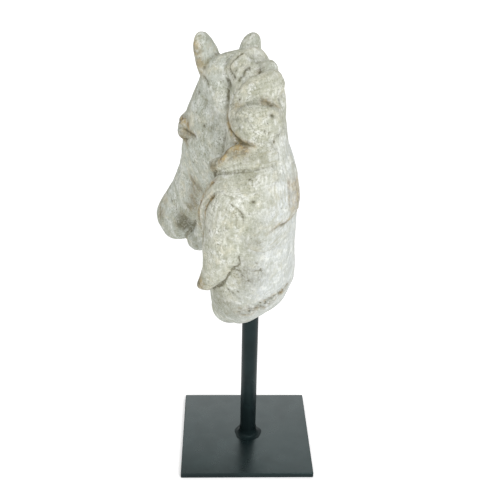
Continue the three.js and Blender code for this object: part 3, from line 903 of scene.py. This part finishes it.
class Paint:
    """A material and short ways to add nodes to it; each way gives back a socket."""

    def __init__(self, name, **shader_values):
        self.material = bpy.data.materials.new(name)
        self.material.use_nodes = True
        self.tree = self.material.node_tree
        self.shader = self.tree.nodes["Principled BSDF"]
        for socket, value in shader_values.items():
            self.shader.inputs[socket.replace("_", " ").title()].default_value = value
        place = self.tree.nodes.new("ShaderNodeTexCoord").outputs["Object"]
        self.place = self.vector("SCALE", place, scale=1 / MM)

    def plug(self, socket, value):
        if isinstance(value, bpy.types.NodeSocket):
            self.tree.links.new(value, socket)
        else:
            socket.default_value = value

    def vector(self, operation, a, b=None, scale=None):
        node = self.tree.nodes.new("ShaderNodeVectorMath")
        node.operation = operation
        self.plug(node.inputs[0], a)
        if b is not None:
            self.plug(node.inputs[1], b)
        if scale is not None:
            node.inputs["Scale"].default_value = scale
        return node.outputs[0]

    def math(self, operation, a, b=0.0, clamp=True):
        node = self.tree.nodes.new("ShaderNodeMath")
        node.operation = operation
        node.use_clamp = clamp
        self.plug(node.inputs[0], a)
        self.plug(node.inputs[1], b)
        return node.outputs[0]

    def layer(self, name, output="Fac"):
        node = self.tree.nodes.new("ShaderNodeAttribute")
        node.attribute_name = name
        return node.outputs[output]

    def noise(self, size, detail=3.0, rough=0.55, shift=0.0, place=None):
        """Cloudy noise whose lumps are about size mm wide."""
        node = self.tree.nodes.new("ShaderNodeTexNoise")
        node.inputs["Scale"].default_value = 1 / size
        node.inputs["Detail"].default_value = detail
        node.inputs["Roughness"].default_value = rough
        moved = self.vector("ADD", place or self.place, (shift, -shift, 2 * shift))
        self.tree.links.new(moved, node.inputs["Vector"])
        return node.outputs["Fac"]

    def ramp(self, value, low, high, top=1.0, bottom=0.0):
        """Value from low to high becomes bottom to top, with soft ends."""
        node = self.tree.nodes.new("ShaderNodeMapRange")
        node.interpolation_type = "SMOOTHSTEP"
        self.plug(node.inputs["Value"], value)
        for name, number in zip(("From Min", "From Max", "To Min", "To Max"),
                                (low, high, bottom, top)):
            node.inputs[name].default_value = number
        return node.outputs["Result"]

    def mix(self, share, a, b, blend="MIX"):
        node = self.tree.nodes.new("ShaderNodeMix")
        node.data_type = "RGBA"
        node.blend_type = blend
        self.plug(node.inputs["Factor"], share)
        self.plug(node.inputs["A"], a)
        self.plug(node.inputs["B"], b)
        return node.outputs["Result"]

    def bump(self, height, depth, strength=1.0, below=None):
        """Fine relief; depth is in mm."""
        node = self.tree.nodes.new("ShaderNodeBump")
        node.inputs["Strength"].default_value = strength
        node.inputs["Distance"].default_value = depth * MM
        self.tree.links.new(height, node.inputs["Height"])
        if below is not None:
            self.tree.links.new(below, node.inputs["Normal"])
        return node.outputs["Normal"]


# %% The driftwood's finish
def driftwood_paint():
    paint = Paint("driftwood", roughness=0.85)
    paint.shader.inputs["Specular IOR Level"].default_value = 0.25
    hollow = paint.layer("hollow")
    face_tone_and_lobe_shade = paint.layer("face_tone_and_lobe_shade")
    wear = paint.layer("wear")
    grain = paint.layer("grain", "Vector")
    streak_place = paint.vector("MULTIPLY", grain, (0.12, 1.0, 1.0))
    streaks = paint.noise(1.5, 3, 0.6, 5.0, streak_place)
    on_lock = paint.layer("on_lock")

    # The ground: grey-green on the face, and on the lobe at the neck's foot as painted shade;
    # cream-grey in the mane; a cooler white down the neck's right side, whiter there partly as painted
    # light.
    clouds = paint.ramp(paint.noise(30, 3, 0.6, 11), 0.35, 0.65)
    cool = paint.mix(clouds, srgb(199, 203, 202), srgb(188, 192, 190))
    warm = paint.mix(clouds, srgb(205, 206, 194), srgb(188, 189, 173))
    green = paint.mix(clouds, srgb(200, 205, 198), srgb(180, 184, 172))
    colour = paint.mix(paint.layer("white_and_lit_side"), warm, cool)
    colour = paint.mix(face_tone_and_lobe_shade, colour, green)
    plain = paint.math("SUBTRACT", 1.0, paint.math("MULTIPLY", paint.layer("white_and_lit_side"), 0.6))
    shade = paint.math("MULTIPLY", paint.ramp(paint.noise(12, 4, 0.7, 17), 0.46, 0.62, 0.65), plain)
    colour = paint.mix(shade, colour, srgb(164, 166, 149))

    moss = paint.math("MULTIPLY", paint.ramp(paint.noise(6.5, 4, 0.6, 41), 0.47, 0.64, 0.6), plain)
    colour = paint.mix(moss, colour, srgb(160, 161, 140))

    # Cream patches and chalky ones.
    cream = paint.math("MULTIPLY", paint.ramp(paint.noise(11, 4, 0.6, 23), 0.5, 0.68, 0.7), plain)
    colour = paint.mix(cream, colour, srgb(209, 206, 186))
    chalk = paint.ramp(paint.noise(7, 4, 0.6, 31), 0.5, 0.66, 0.6)
    colour = paint.mix(chalk, colour, srgb(228, 230, 226))
    colour = paint.mix(paint.math("MULTIPLY", paint.layer("pale"), 0.75), colour, srgb(231, 232, 224))

    # Faint upright brush marks, and streaks along the strands.
    brush_place = paint.vector("MULTIPLY", paint.place, (1.0, 1.0, 0.22))
    brush = paint.noise(1.6, 3, 0.6, 37, brush_place)
    colour = paint.mix(paint.ramp(brush, 0.5, 0.66, 0.45), colour, srgb(168, 170, 155))
    colour = paint.mix(paint.ramp(brush, 0.48, 0.34, 0.4), colour, srgb(226, 228, 222))
    streak = paint.math("MULTIPLY", paint.ramp(streaks, 0.48, 0.66), on_lock)
    colour = paint.mix(paint.math("MULTIPLY", streak, 0.5), colour, srgb(162, 160, 138))

    # Grey-green speckle in drifts, then small dark specks.
    drifts = paint.math("MULTIPLY", paint.ramp(paint.noise(14, 3, 0.6, 47), 0.42, 0.6), plain)
    speckle = paint.ramp(paint.noise(1.8, 3, 0.7, 53), 0.48, 0.64)
    share = paint.math("MULTIPLY", paint.math("ADD", paint.math("MULTIPLY", drifts, 0.55), 0.25), speckle)
    share = paint.math("MULTIPLY", share, plain)
    colour = paint.mix(share, colour, srgb(136, 138, 118))
    specks = paint.ramp(paint.noise(1.35, 2, 0.5, 61), 0.67, 0.75)
    speck_drifts = paint.ramp(paint.noise(9, 3, 0.6, 67), 0.45, 0.62, 0.9, 0.1)
    colour = paint.mix(paint.math("MULTIPLY", specks, speck_drifts), colour, srgb(96, 92, 74))

    # Bare brown wood where the wash has worn off: the marked rims, and a little on sharp edges.
    bare = paint.math("ADD", wear, paint.math("MULTIPLY", paint.ramp(hollow, -0.6, -1.5), 0.08))
    patchy = paint.math("MULTIPLY", bare, paint.ramp(paint.noise(2.4, 4, 0.75, 71), 0.34, 0.56, 1.25, 0.5))
    brown = paint.mix(paint.ramp(paint.noise(4.5, 3, 0.6, 83), 0.4, 0.6), srgb(116, 98, 66),
                      srgb(168, 148, 104))
    colour = paint.mix(paint.math("MULTIPLY", patchy, 0.95), colour, brown)

    # Darkening in the hollows, partly dirt and partly painted shade, and where the strokes left grime and
    # painted shade.
    dirt_and_shade = paint.math("ADD", paint.layer("grime_and_shade"), paint.ramp(hollow, 0.2, 1.4, 0.75))
    dirt_and_shade = paint.math("MULTIPLY", dirt_and_shade, paint.ramp(paint.noise(2.2, 4, 0.75, 97), 0.36, 0.58, 1.1, 0.5))
    colour = paint.mix(paint.math("MULTIPLY", dirt_and_shade, 0.85), colour, srgb(98, 94, 72))

    # The finest grain of the chalk.
    fine = paint.ramp(paint.noise(0.8, 2, 0.6, 101), 0.32, 0.68, 1.05, 0.94)
    gray = paint.tree.nodes.new("ShaderNodeCombineColor")
    for socket in gray.inputs[:3]:
        paint.tree.links.new(fine, socket)
    colour = paint.mix(1.0, colour, gray.outputs["Color"], "MULTIPLY")
    paint.tree.links.new(colour, paint.shader.inputs["Base Color"])

    normal = paint.bump(paint.noise(2.4, 4, 0.6, 111), 0.9, 0.55)
    normal = paint.bump(paint.math("MULTIPLY", streaks, on_lock), 0.9, 0.7, normal)
    normal = paint.bump(specks, -0.7, 0.8, normal)
    paint.tree.links.new(normal, paint.shader.inputs["Normal"])
    return paint.material


head.data.materials.clear()
head.data.materials.append(driftwood_paint())
for polygon in head.data.polygons:
    polygon.use_smooth = True
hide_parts("horse_head")
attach(head, "root")
print("the carving has", len(head.data.materials[0].node_tree.nodes), "shader nodes")

# %% [markdown]
# ## The steel stand
#
# A square plate with softened edges, a round post with a slightly broken top edge, and the weld
# between them. A weld bead is never even: its toe wanders in and out round the post, and its
# hollow face carries faint ripples. All three are under one satin coat of dark green-black paint.

# %% Plate and post
PLATE_SIDE, PLATE_THICK = 127 * MM, 5 * MM
POST_RADIUS, CLEARANCE = 7.8 * MM, 0.3 * MM


def mesh_from(made, name, smooth_angle=math.radians(35)):
    """A mesh from a bmesh, shaded smooth but for its sharp edges."""
    bmesh.ops.recalc_face_normals(made, faces=made.faces)
    mesh = bpy.data.meshes.new(name)
    made.to_mesh(mesh)
    made.free()
    mesh.polygons.foreach_set("use_smooth", [True] * len(mesh.polygons))
    mesh.set_sharp_from_angle(angle=smooth_angle)
    return mesh


def base_plate():
    made = bmesh.new()
    bmesh.ops.create_cube(made, size=1)
    bmesh.ops.scale(made, verts=made.verts, vec=(PLATE_SIDE, PLATE_SIDE, PLATE_THICK))
    bmesh.ops.translate(made, verts=made.verts, vec=(0, 0, PLATE_THICK / 2))
    upright = [e for e in made.edges if abs(e.verts[0].co.z - e.verts[1].co.z) > PLATE_THICK / 2]
    bmesh.ops.bevel(made, geom=upright, offset=1.2 * MM, segments=5, profile=0.5, affect="EDGES",
                    material=-1)
    level = [e for e in made.edges if abs(e.verts[0].co.z - e.verts[1].co.z) < 1e-6]
    bmesh.ops.bevel(made, geom=level, offset=0.7 * MM, segments=4, profile=0.5, affect="EDGES",
                    material=-1)
    return new_piece("plate", mesh_from(made, "plate"))


def steel_post():
    foot = PLATE_THICK + CLEARANCE
    made = bmesh.new()
    bmesh.ops.create_cone(made, cap_ends=True, segments=96, radius1=POST_RADIUS,
                          radius2=POST_RADIUS, depth=0.172 - foot)
    bmesh.ops.translate(made, verts=made.verts, vec=(POST_X, POST_Y, (0.172 + foot) / 2))
    rims = [e for e in made.edges if abs(e.verts[0].co.z - e.verts[1].co.z) < 1e-6]
    bmesh.ops.bevel(made, geom=rims, offset=0.4 * MM, segments=3, profile=0.5, affect="EDGES",
                    material=-1)
    return new_piece("steel_post", mesh_from(made, "steel_post"))


plate, post = base_plate(), steel_post()
print("plate and post:", len(plate.data.polygons), len(post.data.polygons), "faces")

# %% The weld
WELD_REACH, WELD_HEIGHT = 14.4 * MM, 8.3 * MM


def weld():
    """A ring with a hollow face, spun round the post, then rippled like laid weld metal."""
    inner, foot = POST_RADIUS + CLEARANCE, PLATE_THICK + CLEARANCE
    span, rise = WELD_REACH - inner, WELD_HEIGHT
    outline = [(inner, foot)]
    outline += [(inner + span * t, foot) for t in (0.5, 1.0)]
    for k in range(1, 15):
        t = k / 14
        outline.append((inner + span * (1 - t) ** 2.8 + 0.4 * MM * t, foot + rise * t**2.3 + 0.1 * MM))
    outline.append((inner, foot + rise))
    made = bmesh.new()
    corners = [made.verts.new((r, 0, z)) for r, z in outline]
    edges = [made.edges.new((a, b)) for a, b in zip(corners, corners[1:] + corners[:1])]
    bmesh.ops.spin(made, geom=corners + edges, cent=(0, 0, 0), axis=(0, 0, 1), dvec=(0, 0, 0),
                   angle=2 * math.pi, steps=144, use_merge=True, use_normal_flip=False,
                   use_duplicate=False)
    for vert in made.verts:
        radius = math.hypot(vert.co.x, vert.co.y)
        angle = math.atan2(vert.co.y, vert.co.x)
        out = max(0, (radius - inner) / span)
        free = max(0, min(1, (vert.co.z - foot) / MM)) if out < 0.97 else 1
        wander = 0.55 * math.sin(3 * angle + 1) + 0.35 * math.sin(7 * angle) - 0.9
        ripple = 0.16 * math.sin(46 * angle + 3 * out)
        push = out * wander + free * ripple * math.sin(math.pi * min(1, out + 0.1)) - 0.16 * free
        if radius > inner + 0.05 * MM:
            scale = max(inner + 0.02 * MM, radius + push * MM) / radius
            vert.co.x, vert.co.y = vert.co.x * scale, vert.co.y * scale
    bmesh.ops.translate(made, verts=made.verts, vec=(POST_X, POST_Y, 0))
    return new_piece("weld", mesh_from(made, "weld", math.radians(50)))


weld_ring = weld()
print("weld:", len(weld_ring.data.polygons), "faces")

# %% The satin coat
def coat_paint(name, lumps, shine):
    """Dark green-black satin paint: the depth of its orange peel in mm, and how much it shines."""
    paint = Paint(name, roughness=0.3)
    paint.shader.inputs["Specular IOR Level"].default_value = shine
    paint.shader.inputs["Specular Tint"].default_value = (0.78, 1.0, 1.0, 1)
    blotches = paint.ramp(paint.noise(28, 3, 0.6, 3), 0.4, 0.6)
    colour = paint.mix(blotches, srgb(17, 26, 27), srgb(22, 33, 34))
    paint.tree.links.new(colour, paint.shader.inputs["Base Color"])
    dull = paint.ramp(paint.noise(17, 4, 0.6, 15), 0.35, 0.65, 0.34, 0.27)
    paint.tree.links.new(dull, paint.shader.inputs["Roughness"])
    normal = paint.bump(paint.noise(1.1, 3, 0.5, 21), lumps, 0.3)
    paint.tree.links.new(normal, paint.shader.inputs["Normal"])
    return paint.material


coat = coat_paint("stand_coat", 0.03, 0.5)
post_coat = coat_paint("post_coat", 0.03, 0.2)
weld_coat = coat_paint("weld_coat", 0.15, 0.1)
for piece, node, paint in ((plate, "base_plate", coat), (post, "post", post_coat),
                           (weld_ring, "weld_bead", weld_coat)):
    piece.data.materials.append(paint)
    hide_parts(node)
    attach(piece, "root")
# The plate's narrow edges are sprayed from the side and come out as dull as the post.
plate.data.materials.append(post_coat)
for face in plate.data.polygons:
    face.material_index = int(abs(face.normal.z) < 0.5)
print("the stand is coated")

# %% Finish
low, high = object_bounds()
print("visual box in mm:", [round(v / MM) for v in low], [round(v / MM) for v in high])
